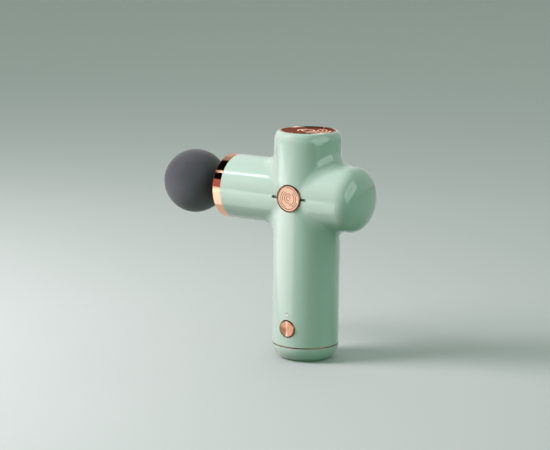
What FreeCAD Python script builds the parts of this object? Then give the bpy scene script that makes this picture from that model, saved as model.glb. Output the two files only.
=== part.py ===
import FreeCAD, Part
import math
import os

# Pocket massage gun: an upright round handle crossed by a level barrel.
# Millimetres. Z is up, the ball head points along -X, the button and badge face -Y.
# The origin is the centre of the flat foot, on the handle's axis.

# ---- driving dimensions: the outside ----
HANDLE_R = 22.0          # the handle is 44 mm across
BARREL_R = 21.5
AXIS_Z = 108.6           # height of the barrel's axis above the foot
TOP_Z = 150.7            # upper face of the top panel
BARREL_FRONT_X = -54.9   # where the painted barrel meets the collar
COLLAR_FRONT_X = -61.5
REAR_X = 46.6            # tip of the rounded rear end
REAR_ROUND_X = 33.5      # the rear rounding starts here
CROSS_FILLET = 10.5      # soft blend where handle and barrel meet
SHOULDER_HEIGHT = 7.0
RIM_R = 18.9             # top rim of the shells
BASE_CAP_Z = 9.7         # top edge of the base cap
SHELL_Z = 10.5           # bottom edge of the shells, above the trim ring
FOOT_R = 13.0            # flat part of the underside
BALL_X = -91.1
BALL_R = 21.4
BUTTON_Z = 22.5
BUTTON_R = 5.8
LED_Z = 32.3
BADGE_R = 9.0
BADGE_FRONT_Y = -22.5
BADGE_FACE_Y = -22.2     # the face lies below the raised rim
BADGE_RIM = 0.8
SLOT_END_X = 13.5        # ends of the level slot that shows at both sides of the badge
SLOT_HALF_HEIGHT = 0.9
PANEL_R = 18.4
PANEL_THICK = 1.4

# ---- driving dimensions: walls and fits ----
WALL = 2.0
BADGE_FLOOR_Y = -20.7
SLOT_FLOOR_Y = -19.2
SLOT_BACK_Y = -18.0      # the shell is thickened to here behind the slot
LEDGE_Z = 147.5
SPIGOT_R = 19.9          # the collar slides over this reduced nose of the shells
SPIGOT_X = -60.4
SPIGOT_BORE_R = 17.9
RUNNING = 0.05           # radial clearance of shafts, pins and the piston
LOOSE = 0.15             # radial clearance of the button in its hole

# ---- driving dimensions: drive train ----
THROW = 4.0              # crank radius, so the stroke is twice this
ROD_LENGTH = 31.0
ROD_THICK = 4.5
SHAFT_R = 2.0
BEARING_R = 4.5          # 4 x 9 x 4 mm ball bearings
BEARING_THICK = 4.0
CRANK_R = 12.5
CRANK_BOTTOM = AXIS_Z + 3.3
CRANK_TOP = AXIS_Z + 7.3
PIN_GAP = 0.3            # the crank pin stops this far below the crank disc
PLATE_Z = AXIS_Z + 10.0
PLATE_TOP = AXIS_Z + 12.5
PLATE_R = 17.4
STATOR_Z = AXIS_Z + 15.5
STATOR_TOP = AXIS_Z + 25.5
STATOR_R = 13.0
CAN_R = 16.0
CAN_Z = AXIS_Z + 14.8
CAN_TOP = AXIS_Z + 30.6
MOUNT_R = 6.0            # outside of the motor's bearing tube
LOWER_BEARING_Z = AXIS_Z + 8.0
UPPER_BEARING_Z = AXIS_Z + 24.6
HOLDER_R = 14.0          # chassis tube round the guide sleeve
CHEEK_INNER_Y = 13.6
CHEEK_OUTER_Y = 16.4
CHEEK_BACK_X = -38.0
CHEEK_FRONT_X = -3.5
PISTON_R = 8.95
PISTON_FRONT_X = -56.0
PISTON_REAR_X = -22.0
SLEEVE_R = 11.5
SOCKET_R = 5.5           # socket for the stem of the head
SOCKET_DEPTH = 20.0
NECK_R = 8.0             # neck of the head's stem, inside the ball
NECK_END_X = BALL_X - 4.0
ANCHOR_R = 11.0          # disc that holds the ball on its stem
ANCHOR_X0 = BALL_X + 6.0
ANCHOR_X1 = BALL_X + 9.0

# ---- driving dimensions: power ----
CELL_R = 9.2             # 18650 cells
CELL_X = 9.35
CELL_Z = 21.0
CELL_LENGTH = 65.0
BOARD = 1.6              # circuit board thickness
DRIVER_X = 30.0
DRIVER_SCREW_Y = 16.4
CHARGE_BOARD_Y = 12.6
BUTTON_BOARD_Y = -14.0
BUTTON_SCREW_X = 6.0
BUTTON_SCREW_Z = 36.0
DISPLAY_SCREW_R = 17.2   # the display board's screws stand this far from its centre
BASE_SCREW_X = 10.0
TRAY_Z = 18.0

CRANK_X = THROW                     # crank pin at rest, furthest from the head
WRIST_X = CRANK_X - ROD_LENGTH      # wrist pin at rest
TEETH = 9
MAGNETS = 12

V = FreeCAD.Vector
ALONG_X = V(1, 0, 0)
ALONG_Y = V(0, 1, 0)
ALONG_Z = V(0, 0, 1)


# ---- small helpers ----
def save(node, shape):
    shape.exportStep("parts/" + node + ".step")


def group(shapes):
    return Part.makeCompound(shapes)


def block(x0, x1, y0, y1, z0, z1):
    return Part.makeBox(x1 - x0, y1 - y0, z1 - z0, V(x0, y0, z0))


def bar_x(radius, x0, x1, y=0.0, z=AXIS_Z):
    return Part.makeCylinder(radius, x1 - x0, V(x0, y, z), ALONG_X)


def bar_y(radius, y0, y1, x=0.0, z=AXIS_Z):
    return Part.makeCylinder(radius, y1 - y0, V(x, y0, z), ALONG_Y)


def bar_z(radius, z0, z1, x=0.0, y=0.0):
    return Part.makeCylinder(radius, z1 - z0, V(x, y, z0), ALONG_Z)


def ring_x(outer, inner, x0, x1):
    return bar_x(outer, x0, x1).cut(bar_x(inner, x0, x1))


def ring_z(outer, inner, z0, z1):
    return bar_z(outer, z0, z1).cut(bar_z(inner, z0, z1))


def line(a, b):
    return Part.makeLine(a, b)


def rounding(start, corner, end):
    """A quarter-ellipse-like curve from start to end, tangent to both sides of the corner."""
    pull = 0.5523
    curve = Part.BezierCurve()
    curve.setPoles([start, start + (corner - start) * pull, end + (corner - end) * pull, end])
    return curve.toShape()


def revolve(edges, centre, axis):
    return Part.Face(Part.Wire(edges)).revolve(centre, axis, 360)


def turned_z(shape, degrees):
    copy = shape.copy()
    copy.rotate(V(0, 0, 0), ALONG_Z, degrees)
    return copy


def spaced(shape, count):
    """The shape repeated evenly round the handle's axis."""
    return [turned_z(shape, 360.0 * i / count) for i in range(count)]


def cable(points, bend, radius):
    """A round wire along straight runs that meet at right angles, joined by arcs."""
    edges = []
    start = points[0]
    for here, after in zip(points[1:-1], points[2:]):
        back = (start - here).normalize()
        ahead = (after - here).normalize()
        first = here + back * bend
        last = here + ahead * bend
        middle = here + (back + ahead) * (bend * (1 - math.sqrt(0.5)))
        edges.append(line(start, first))
        edges.append(Part.Arc(first, middle, last).toShape())
        start = last
    edges.append(line(start, points[-1]))
    section = Part.Wire([Part.makeCircle(radius, points[0], points[1] - points[0])])
    return Part.Wire(edges).makePipeShell([section], True, False)


# ---- casing ----
def upright_body(radius, z0, shoulder_z, rim_r, top_z):
    """Solid of revolution for the handle and top stub, with a rounded shoulder."""
    edges = [
        line(V(0, 0, z0), V(radius, 0, z0)),
        line(V(radius, 0, z0), V(radius, 0, shoulder_z)),
        rounding(V(radius, 0, shoulder_z), V(radius, 0, top_z), V(rim_r, 0, top_z)),
        line(V(rim_r, 0, top_z), V(0, 0, top_z)),
        line(V(0, 0, top_z), V(0, 0, z0)),
    ]
    return revolve(edges, V(0, 0, 0), ALONG_Z)


def barrel_body(radius, x0, round_x, tip_x):
    """Solid of revolution for the barrel: a straight tube that closes in a soft dome."""
    z = AXIS_Z
    reach = 0.66
    dome = Part.BezierCurve()
    dome.setPoles([
        V(round_x, 0, z + radius),
        V(round_x + (tip_x - round_x) * reach, 0, z + radius),
        V(tip_x, 0, z + radius * reach),
        V(tip_x, 0, z),
    ])
    edges = [
        line(V(x0, 0, z), V(x0, 0, z + radius)),
        line(V(x0, 0, z + radius), V(round_x, 0, z + radius)),
        dome.toShape(),
        line(V(tip_x, 0, z), V(x0, 0, z)),
    ]
    return revolve(edges, V(0, 0, z), ALONG_X)


def crossing_edges(shape):
    """The curved edges where the two tubes meet."""
    reach = HANDLE_R + 1.0
    found = []
    for edge in shape.Edges:
        box = edge.BoundBox
        near = max(abs(box.XMin), abs(box.XMax), abs(box.ZMin - AXIS_Z), abs(box.ZMax - AXIS_Z)) < reach
        if near and edge.Curve.__class__.__name__ not in ("Circle", "Line"):
            found.append(edge)
    return found


def casing_outside():
    upright = upright_body(HANDLE_R, SHELL_Z, TOP_Z - SHOULDER_HEIGHT, RIM_R, TOP_Z)
    barrel = barrel_body(BARREL_R, BARREL_FRONT_X, REAR_ROUND_X, REAR_X)
    body = upright.fuse(barrel).removeSplitter()
    body = body.makeFillet(CROSS_FILLET, crossing_edges(body))
    spigot = bar_x(SPIGOT_R, SPIGOT_X, BARREL_FRONT_X + WALL)
    return body.fuse(spigot)


def casing_hollow():
    """Everything that is air inside the casing, less the ribs that stay in it."""
    inside = bar_z(HANDLE_R - WALL, SHELL_Z - 1, LEDGE_Z)
    barrel = barrel_body(BARREL_R - WALL, BARREL_FRONT_X + WALL, REAR_ROUND_X, REAR_X - WALL)
    board_rib = ring_x(BARREL_R, 15.6, DRIVER_X - 2.0, DRIVER_X)
    hollow = inside.fuse(barrel).cut(board_rib)
    nose = bar_x(SPIGOT_BORE_R, SPIGOT_X - 1, BARREL_FRONT_X + WALL + 1)
    window = bar_z(PANEL_R - 2.2, LEDGE_Z - 1, TOP_Z)
    recess = bar_z(PANEL_R + 0.05, TOP_Z - PANEL_THICK, TOP_Z + 1)
    return hollow.multiFuse([nose, window, recess])


def half_space(front):
    far = 200.0
    if front:
        return block(-far, far, -far, 0, -far, far)
    return block(-far, far, 0, far, -far, far)


def badge_slot():
    """The level slot with round ends that passes behind the badge and shows at both sides."""
    end = SLOT_END_X - SLOT_HALF_HEIGHT
    low = AXIS_Z - SLOT_HALF_HEIGHT
    high = AXIS_Z + SLOT_HALF_HEIGHT
    middle = block(-end, end, -HANDLE_R - 1, SLOT_FLOOR_Y, low, high)
    ends = [bar_y(SLOT_HALF_HEIGHT, -HANDLE_R - 1, SLOT_FLOOR_Y, side * end) for side in (-1, 1)]
    return middle.multiFuse(ends)


def slot_backing():
    """Extra wall inside the shell, behind the slot."""
    reach = SLOT_END_X + 1.0
    half = SLOT_HALF_HEIGHT + 1.0
    return block(-reach, reach, -20.4, SLOT_BACK_Y, AXIS_Z - half, AXIS_Z + half)


def button_board_bosses(radius, y0, y1):
    return [bar_y(radius, y0, y1, side * BUTTON_SCREW_X, BUTTON_SCREW_Z) for side in (-1, 1)]


def front_shell(outside, hollow):
    shell = outside.common(half_space(True)).cut(hollow)
    badge_pad = bar_y(BADGE_R + 0.8, -20.4, -18.9)
    bosses = button_board_bosses(2.2, -19.9, BUTTON_BOARD_Y)
    shell = shell.multiFuse([badge_pad, slot_backing()] + bosses)
    cuts = [
        bar_y(BADGE_R + 0.1, -24, BADGE_FLOOR_Y),
        badge_slot(),
        bar_y(BUTTON_R + LOOSE, -24, -15, 0, BUTTON_Z),
        bar_y(0.95, -24, -15, 0, LED_Z),
    ]
    cuts += button_board_bosses(0.8, -18.5, BUTTON_BOARD_Y)
    return shell.cut(group(cuts)).removeSplitter()


def rear_shell(outside, hollow):
    shell = outside.common(half_space(False)).cut(hollow)
    return shell.cut(driver_screw_shank()).removeSplitter()


def bowl(radius, z0, z1, flat):
    edges = [
        line(V(0, 0, z0), V(flat, 0, z0)),
        rounding(V(flat, 0, z0), V(radius, 0, z0), V(radius, 0, z1)),
        line(V(radius, 0, z1), V(0, 0, z1)),
        line(V(0, 0, z1), V(0, 0, z0)),
    ]
    return revolve(edges, V(0, 0, 0), ALONG_Z)


def base_cap():
    """Rounded bowl that closes the handle, with a spigot that enters the shells."""
    cap = bowl(HANDLE_R, 0, BASE_CAP_Z, FOOT_R)
    cap = cap.fuse(bar_z(HANDLE_R - WALL - 0.1, BASE_CAP_Z - 1, 14.5))
    cap = cap.cut(bowl(HANDLE_R - 2 * WALL, WALL, BASE_CAP_Z, FOOT_R - WALL))
    cap = cap.cut(bar_z(HANDLE_R - 2 * WALL, BASE_CAP_Z, 15))
    posts = [bar_z(2.8, WALL - 0.5, 7.9, side * BASE_SCREW_X) for side in (-1, 1)]
    cap = cap.multiFuse(posts)
    cap = cap.cut(usb_outline(9.3, 3.5, -1, 4))
    holes = [bar_z(1.3, -1, 9, side * BASE_SCREW_X) for side in (-1, 1)]
    holes += [bar_z(2.1, -1, 1.6, side * BASE_SCREW_X) for side in (-1, 1)]
    return cap.cut(group(holes)).removeSplitter()


def base_trim_ring():
    return ring_z(HANDLE_R + 0.05, HANDLE_R - WALL - 0.1, BASE_CAP_Z, SHELL_Z)


def base_screws():
    """Two pan-head screws that pull the base cap up against the battery tray."""
    screws = []
    for side in (-1, 1):
        shank = bar_z(1.2, 1.6, 15.5, side * BASE_SCREW_X)
        head = bar_z(2.0, 0.5, 1.6, side * BASE_SCREW_X)
        x = side * BASE_SCREW_X
        slot = block(x - 1.2, x + 1.2, -0.25, 0.25, 0.4, 1.0)
        screws.append(shank.fuse(head).cut(slot))
    return group(screws)


def barrel_collar():
    """Polished ring over the nose of the shells, turned in at the front."""
    depth = BARREL_FRONT_X - COLLAR_FRONT_X
    collar = bar_x(BARREL_R, COLLAR_FRONT_X, BARREL_FRONT_X)
    front_edge = [e for e in collar.Edges if abs(e.BoundBox.XMax - COLLAR_FRONT_X) < 0.01]
    collar = collar.makeChamfer(0.5, front_edge)
    collar = collar.cut(bar_x(SPIGOT_R, COLLAR_FRONT_X + depth - 5.5, BARREL_FRONT_X))
    return collar.cut(bar_x(SPIGOT_BORE_R, COLLAR_FRONT_X - 1, BARREL_FRONT_X))


def barrel_front_plate():
    """Dark plate inside the nose, with the hole that the piston works through."""
    plate = bar_x(SPIGOT_BORE_R, -59.6, -57.6)
    return plate.cut(bar_x(9.7, -60, -57))


def dust_seal():
    return ring_x(13.0, PISTON_R + RUNNING, -57.5, -55.0)


def badge():
    """Round metal badge with a raised rim and a turned, generic ring pattern."""
    badge_body = bar_y(BADGE_R, BADGE_FRONT_Y, BADGE_FLOOR_Y)
    badge_body = badge_body.cut(bar_y(BADGE_R - BADGE_RIM, BADGE_FRONT_Y - 1, BADGE_FACE_Y))
    half_width = 0.15
    for radius in (3.0, 5.0, 7.0):
        outer = bar_y(radius + half_width, BADGE_FACE_Y - 0.1, BADGE_FACE_Y + half_width)
        inner = bar_y(radius - half_width, BADGE_FACE_Y - 0.1, BADGE_FACE_Y + half_width)
        badge_body = badge_body.cut(outer.cut(inner))
    return badge_body


def top_panel():
    panel = bar_z(PANEL_R, TOP_Z - PANEL_THICK, TOP_Z)
    upper = [e for e in panel.Edges if e.BoundBox.ZMin > TOP_Z - 0.01]
    return panel.makeChamfer(0.2, upper)


# ---- display, button and light ----
def display_screw_places():
    return [turned_z(Part.Vertex(DISPLAY_SCREW_R, 0, 0), angle).Point for angle in (90, 270)]


def display_board():
    board = bar_z(18.4, LEDGE_Z - BOARD, LEDGE_Z)
    holes = [bar_z(0.85, 140, 150, p.x, p.y) for p in display_screw_places()]
    return board.cut(group(holes))


def display_board_screws():
    screws = []
    for p in display_screw_places():
        head = bar_z(1.5, LEDGE_Z - BOARD - 1.1, LEDGE_Z - BOARD, p.x, p.y)
        screws.append(head.fuse(bar_z(0.8, LEDGE_Z - BOARD, LEDGE_Z, p.x, p.y)))
    return group(screws)


def indicator_leds():
    """Five small lamps under the top panel, in an arc."""
    lamps = []
    for angle in (-50, -25, 0, 25, 50):
        lamp = block(10.0, 11.6, -0.8, 0.8, LEDGE_Z, LEDGE_Z + 0.8)
        lamps.append(turned_z(lamp, angle))
    return group(lamps)


def button_board():
    board = block(-8, 8, BUTTON_BOARD_Y, BUTTON_BOARD_Y + BOARD, 14.0, 38.5)
    return board.cut(group(button_board_bosses(0.85, -15, -12)))


def button_board_screws():
    back = BUTTON_BOARD_Y + BOARD
    shanks = button_board_bosses(0.8, -18.0, back)
    heads = button_board_bosses(1.6, back, back + 1.1)
    return group([a.fuse(b) for a, b in zip(shanks, heads)])


def tact_switch():
    body = block(-3, 3, -16.4, BUTTON_BOARD_Y, BUTTON_Z - 3, BUTTON_Z + 3)
    return body.cut(bar_y(1.5, -17, -14.4, 0, BUTTON_Z))


def switch_plunger():
    return bar_y(1.4, -17.4, -15.0, 0, BUTTON_Z)


def power_button():
    """Turned metal cap with a flange that keeps it in the shell."""
    cap = bar_y(BUTTON_R, -22.4, -17.4, 0, BUTTON_Z)
    rim = [e for e in cap.Edges if e.BoundBox.YMax < -22.3]
    cap = cap.makeChamfer(0.4, rim)
    return cap.fuse(bar_y(BUTTON_R + 1.1, -18.3, -17.4, 0, BUTTON_Z)).removeSplitter()


def led_light_pipe():
    pipe = bar_y(0.9, -21.6, -16.0, 0, LED_Z)
    return pipe.fuse(bar_y(1.6, -18.6, -17.6, 0, LED_Z))


def status_led():
    return block(-0.8, 0.8, -15.2, BUTTON_BOARD_Y, LED_Z - 0.8, LED_Z + 0.8)


# ---- frame and motor ----
def motor_screw_set(grow=0.0):
    """Three countersunk screws that hold the motor to the chassis plate."""
    head = Part.makeCone(1.9 + grow, 1.0 + grow, 1.0, V(9.0, 0, PLATE_Z), ALONG_Z)
    screw = head.fuse(bar_z(1.0 + grow, PLATE_Z, PLATE_TOP + 1.5, 9.0))
    return [turned_z(screw, 60 + 120 * i) for i in range(3)]


def chassis():
    """Cast frame: a round motor plate, two cheeks and the tube that holds the guide sleeve."""
    plate = bar_z(PLATE_R, PLATE_Z, PLATE_TOP)
    holder = bar_x(HOLDER_R, -54.0, -33.0)
    collars = [bar_x(15.5, x, x + 1.5) for x in (-52.5, -45.0)]
    cheeks = []
    for side in (-1, 1):
        y0 = min(side * CHEEK_INNER_Y, side * CHEEK_OUTER_Y)
        y1 = max(side * CHEEK_INNER_Y, side * CHEEK_OUTER_Y)
        low = block(CHEEK_BACK_X, CHEEK_FRONT_X, y0, y1, AXIS_Z - 6, AXIS_Z + 8)
        riser = block(CHEEK_FRONT_X - 6.0, CHEEK_FRONT_X, y0, y1, AXIS_Z + 7, PLATE_TOP)
        cheeks += [low, riser.common(bar_z(PLATE_R, AXIS_Z, PLATE_TOP))]
    web_x = CHEEK_BACK_X + 3.0
    web = block(CHEEK_BACK_X, web_x, -CHEEK_OUTER_Y, CHEEK_OUTER_Y, AXIS_Z - 6, AXIS_Z + 8)
    body = plate.multiFuse([holder, web] + collars + cheeks)
    body = body.cut(bar_x(SLEEVE_R, -60, -30))
    body = body.cut(bar_z(MOUNT_R, PLATE_Z - 1, PLATE_TOP + 1))
    return body.cut(group(motor_screw_set())).removeSplitter()


def motor_mount():
    """Flanged tube that carries both motor bearings and the stator."""
    flange = bar_z(11.0, PLATE_TOP, PLATE_TOP + 1.5)
    tube = bar_z(MOUNT_R, AXIS_Z + 7.8, AXIS_Z + 28.8)
    body = flange.fuse(tube).cut(bar_z(3.4, AXIS_Z, AXIS_Z + 40))
    body = body.cut(bar_z(BEARING_R, AXIS_Z, LOWER_BEARING_Z + BEARING_THICK))
    body = body.cut(bar_z(BEARING_R, UPPER_BEARING_Z, AXIS_Z + 40))
    return body.cut(group(motor_screw_set()))


def ball_bearing(z0, bore=SHAFT_R):
    """Races and balls as one closed ring, with a shallow groove in each face."""
    race = ring_z(BEARING_R, bore, z0, z0 + BEARING_THICK)
    middle = (BEARING_R + SHAFT_R) / 2
    grooves = []
    for z in (z0, z0 + BEARING_THICK - 0.3):
        grooves.append(ring_z(middle + 0.5, middle - 0.5, z, z + 0.3))
    return race.cut(group(grooves))


def lower_bearing():
    return ball_bearing(LOWER_BEARING_Z, SHAFT_R + 0.02)


def upper_bearing():
    return ball_bearing(UPPER_BEARING_Z, SHAFT_R + 0.02)


def tooth(grow=0.0):
    return block(7.0, 12.2, -1.1 - grow, 1.1 + grow, STATOR_Z - grow, STATOR_TOP + grow)


def stator_core():
    hub = ring_z(7.8, MOUNT_R, STATOR_Z, STATOR_TOP)
    rim = ring_z(STATOR_R, 12.0, STATOR_Z, STATOR_TOP)
    slot = block(10, 14, -0.6, 0.6, STATOR_Z - 1, STATOR_TOP + 1)
    slots = [turned_z(slot, 360.0 * (i + 0.5) / TEETH) for i in range(TEETH)]
    core = hub.multiFuse(spaced(tooth(), TEETH) + [rim])
    return core.cut(group(slots)).removeSplitter()


def stator_windings():
    coil = block(8.4, 11.7, -2.25, 2.25, STATOR_Z - 1.0, STATOR_TOP + 1.0).cut(tooth())
    return group(spaced(coil, TEETH))


def rotor_can():
    can = bar_z(CAN_R, CAN_Z, CAN_TOP)
    can = can.cut(bar_z(CAN_R - 1.2, CAN_Z - 1, CAN_TOP - 1.2))
    can = can.fuse(bar_z(3.6, CAN_TOP - 1.6, CAN_TOP + 0.8))
    window = bar_z(2.2, CAN_TOP - 3, CAN_TOP + 1, 9.5)
    can = can.cut(group(spaced(window, 6)))
    return can.cut(bar_z(SHAFT_R, CAN_Z, CAN_TOP + 2)).removeSplitter()


def rotor_magnets():
    """Thin curved magnets glued inside the can."""
    whole = ring_z(CAN_R - 1.2, STATOR_R + 0.3, STATOR_Z, STATOR_TOP)
    half = math.radians(360.0 / MAGNETS / 2 - 1.5)
    far = 30.0
    corners = [V(0, 0, STATOR_Z - 1)]
    corners += [V(far * math.cos(a), far * math.sin(a), STATOR_Z - 1) for a in (-half, half)]
    wedge = Part.Face(Part.makePolygon(corners + [corners[0]])).extrude(V(0, 0, 20))
    return group(spaced(whole.common(wedge), MAGNETS))


def motor_shaft():
    return bar_z(SHAFT_R, CRANK_BOTTOM, CAN_TOP + 1.2)


def crank_disc():
    """Disc on the motor's shaft, with a raised balance weight away from the crank pin."""
    disc = bar_z(CRANK_R, CRANK_BOTTOM, CRANK_TOP)
    weight = ring_z(CRANK_R, 7.2, CRANK_TOP - 0.5, CRANK_TOP + 1.7)
    weight = weight.cut(block(0, 20, -20, 20, CRANK_TOP - 1, CRANK_TOP + 3))
    disc = disc.fuse(weight)
    lightening = [bar_z(1.9, CRANK_BOTTOM - 1, CRANK_TOP + 1, 7.0, side * 6.4) for side in (-1, 1)]
    return disc.cut(group(lightening + [bar_z(SHAFT_R, 0, 200)])).removeSplitter()


# ---- rod, piston and head ----
def connecting_rod():
    z0 = AXIS_Z - ROD_THICK / 2
    z1 = AXIS_Z + ROD_THICK / 2
    big = bar_z(BEARING_R + 2.0, z0, z1, CRANK_X)
    small = bar_z(4.4, z0, z1, WRIST_X)
    beam = block(WRIST_X, CRANK_X, -2.6, 2.6, z0, z1)
    groove = block(WRIST_X + 7, CRANK_X - 9, -1.3, 1.3, z1 - 1.2, z1)
    rod = big.multiFuse([small, beam]).cut(groove)
    rod = rod.cut(bar_z(BEARING_R, AXIS_Z - BEARING_THICK / 2, z1, CRANK_X))
    rod = rod.cut(bar_z(BEARING_R - 1.0, z0, z1, CRANK_X))
    return rod.cut(bar_z(SHAFT_R + RUNNING, z0, z1, WRIST_X)).removeSplitter()


def rod_bearing():
    bearing = ball_bearing(AXIS_Z - BEARING_THICK / 2)
    bearing.translate(V(CRANK_X, 0, 0))
    return bearing


def crank_pin_bolt():
    """Shouldered bolt through the rod's bearing; it stops just short of the crank disc."""
    shank = bar_z(SHAFT_R, AXIS_Z - 2.5, CRANK_BOTTOM - PIN_GAP, CRANK_X)
    head = bar_z(3.2, AXIS_Z - 4.4, AXIS_Z - 2.0, CRANK_X)
    drive = block(CRANK_X - 0.5, CRANK_X + 0.5, -2.0, 2.0, AXIS_Z - 4.5, AXIS_Z - 3.6)
    return shank.fuse(head).cut(drive).removeSplitter()


def piston():
    body = bar_x(PISTON_R, PISTON_FRONT_X, PISTON_REAR_X)
    front = [e for e in body.Edges if e.BoundBox.XMax < PISTON_FRONT_X + 0.01]
    body = body.makeChamfer(0.6, front)
    fork = ROD_THICK / 2 + 0.35
    body = body.cut(block(WRIST_X - 5.5, -15, -12, 12, AXIS_Z - fork, AXIS_Z + fork))
    body = body.cut(bar_x(SOCKET_R, PISTON_FRONT_X - 1, PISTON_FRONT_X + SOCKET_DEPTH))
    return body.cut(bar_z(SHAFT_R, AXIS_Z - 20, AXIS_Z + 20, WRIST_X))


def wrist_pin():
    return bar_z(SHAFT_R, AXIS_Z - 7.8, AXIS_Z + 7.8, WRIST_X)


def piston_sleeve():
    return ring_x(SLEEVE_R, PISTON_R + RUNNING, -54.5, -33.0)


def barrel_dampers():
    """Two rubber rings between the chassis tube and the shells."""
    return group([ring_x(BARREL_R - WALL - 0.05, HOLDER_R, x, x + 4.0) for x in (-50.5, -42.3)])


def motor_plate_damper():
    damper = ring_z(HANDLE_R - WALL - 0.05, PLATE_R, PLATE_Z, PLATE_TOP)
    return damper.cut(block(14.0, 20.0, 5.6, 8.4, PLATE_Z - 1, PLATE_TOP + 1))


def head_stem():
    """Stiff core of the head: plug, shoulder, neck and an anchor inside the ball."""
    shoulder_x = PISTON_FRONT_X - 0.2
    plug = bar_x(SOCKET_R - RUNNING, shoulder_x, PISTON_FRONT_X + SOCKET_DEPTH - 0.6)
    neck = bar_x(NECK_R, NECK_END_X, shoulder_x)
    anchor = bar_x(ANCHOR_R, ANCHOR_X0, ANCHOR_X1)
    stem = plug.multiFuse([neck, anchor])
    return stem.cut(o_ring_groove())


def o_ring_groove():
    return ring_x(SOCKET_R + 1.0, SOCKET_R - 1.0, PISTON_FRONT_X + 7.0, PISTON_FRONT_X + 9.0)


def stem_o_ring():
    return ring_x(SOCKET_R - 0.02, SOCKET_R - 1.0, PISTON_FRONT_X + 7.1, PISTON_FRONT_X + 8.9)


def ball_head():
    ball = Part.makeSphere(BALL_R, V(BALL_X, 0, AXIS_Z))
    core = bar_x(NECK_R, NECK_END_X, BALL_X + BALL_R + 1).fuse(bar_x(ANCHOR_R, ANCHOR_X0, ANCHOR_X1))
    return ball.cut(core)


# ---- power and electronics ----
def cell_places():
    return [-CELL_X, CELL_X]


def battery_cells():
    cells = []
    for x in cell_places():
        body = bar_z(CELL_R, CELL_Z, CELL_Z + CELL_LENGTH - 1.0, x)
        cells.append(body.fuse(bar_z(3.0, CELL_Z, CELL_Z + CELL_LENGTH, x)))
    return group(cells)


def tray_plate(z0, z1):
    disc = bar_z(HANDLE_R - WALL - 0.1, z0, z1)
    return disc.common(block(-30, 30, -11.0, 11.4, z0, z1))


def battery_tray():
    """Carrier for the two cells: end plates joined by a back web, with posts for the base screws."""
    top = CELL_Z + CELL_LENGTH + 3.0
    lower = tray_plate(TRAY_Z, TRAY_Z + 2.4)
    upper = tray_plate(top - 2.4, top)
    web = block(-12, 12, 9.6, 11.4, TRAY_Z, top)
    posts = [bar_z(3.0, 10.2, TRAY_Z + 0.5, side * BASE_SCREW_X) for side in (-1, 1)]
    tray = lower.multiFuse([upper, web] + posts)
    tray = tray.cut(group([bar_z(1.2, 10, 15.5, side * BASE_SCREW_X) for side in (-1, 1)]))
    return tray.removeSplitter()


def battery_contacts():
    low = block(-14, 14, -3.5, 3.5, CELL_Z - 0.5, CELL_Z)
    top = CELL_Z + CELL_LENGTH
    high = [block(x - 4, x + 4, -3.5, 3.5, top, top + 0.4) for x in cell_places()]
    return group([low] + high)


def charge_board():
    return block(-11, 11, CHARGE_BOARD_Y, CHARGE_BOARD_Y + BOARD, 24, 72)


def charge_board_parts():
    y = CHARGE_BOARD_Y + BOARD
    return group([
        block(-5, 5, y, y + 3.2, 30, 40),
        block(-7, -2, y, y + 1.2, 45, 50),
        block(1, 7, y, y + 1.6, 45, 53),
        bar_y(3.2, y, y + 3.0, 0, 62),
    ])


def driver_screw_shank():
    return bar_x(0.8, DRIVER_X - 1.8, DRIVER_X + BOARD, DRIVER_SCREW_Y, AXIS_Z + 2.0)


def driver_board():
    board = bar_x(17.4, DRIVER_X, DRIVER_X + BOARD)
    return board.cut(driver_screw_shank())


def driver_board_screw():
    face = DRIVER_X + BOARD
    head = bar_x(1.5, face, face + 1.1, DRIVER_SCREW_Y, AXIS_Z + 2.0)
    return driver_screw_shank().fuse(head)


def driver_board_parts():
    """Power transistors, the controller chip and a capacitor on the outer face of the board."""
    x = DRIVER_X + BOARD
    parts = [block(x, x + 1.4, y - 2.5, y + 2.5, AXIS_Z + 6, AXIS_Z + 12) for y in (-7, 0, 7)]
    parts.append(block(x, x + 1.0, -9, -3, AXIS_Z - 6, AXIS_Z))
    parts.append(bar_x(3.0, x, x + 5.0, 5.0, AXIS_Z - 6.0))
    return group(parts)


def usb_outline(width, height, z0, z1):
    radius = height / 2
    flat = width / 2 - radius
    middle = block(-flat, flat, -radius, radius, z0, z1)
    return middle.multiFuse([bar_z(radius, z0, z1, side * flat) for side in (-1, 1)])


def usb_c_port():
    """Metal socket shell with its tongue, facing down through the base cap."""
    shell = usb_outline(8.94, 3.16, 0.9, 8.2).cut(usb_outline(8.34, 2.56, 0.0, 7.4))
    tongue = block(-3.35, 3.35, -0.35, 0.35, 1.6, 7.6)
    return shell.fuse(tongue).removeSplitter()


def usb_board():
    return block(-6.8, 6.8, -7, 7, 8.2, 8.2 + BOARD)


def motor_leads():
    z = PLATE_TOP + 0.75
    return group([bar_x(0.6, 11.1, DRIVER_X, y, z) for y in (-3, 0, 3)])


def battery_leads():
    top = CELL_Z + CELL_LENGTH + 3.0
    z = AXIS_Z - 11.0
    runs = []
    for y in (-2.5, 2.5):
        runs.append(cable([V(15, y, top), V(15, y, z), V(DRIVER_X, y, z)], 5.0, 0.8))
    return group(runs)


def button_cable():
    y = BUTTON_BOARD_Y + BOARD / 2
    z = AXIS_Z - 6.0
    return cable([V(5, y, 38.5), V(5, y, z), V(DRIVER_X, y, z)], 5.0, 0.7)


def display_cable():
    z = AXIS_Z + 3.0
    return cable([V(16.8, 7, LEDGE_Z - BOARD), V(16.8, 7, z), V(DRIVER_X, 7, z)], 5.0, 0.6)


def charge_leads():
    runs = []
    for x in (-3, 3):
        points = [V(x, 5.5, 9.8), V(x, 5.5, 14.5), V(x, 13.4, 14.5), V(x, 13.4, 24)]
        runs.append(cable(points, 2.4, 0.6))
    return group(runs)


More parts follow.
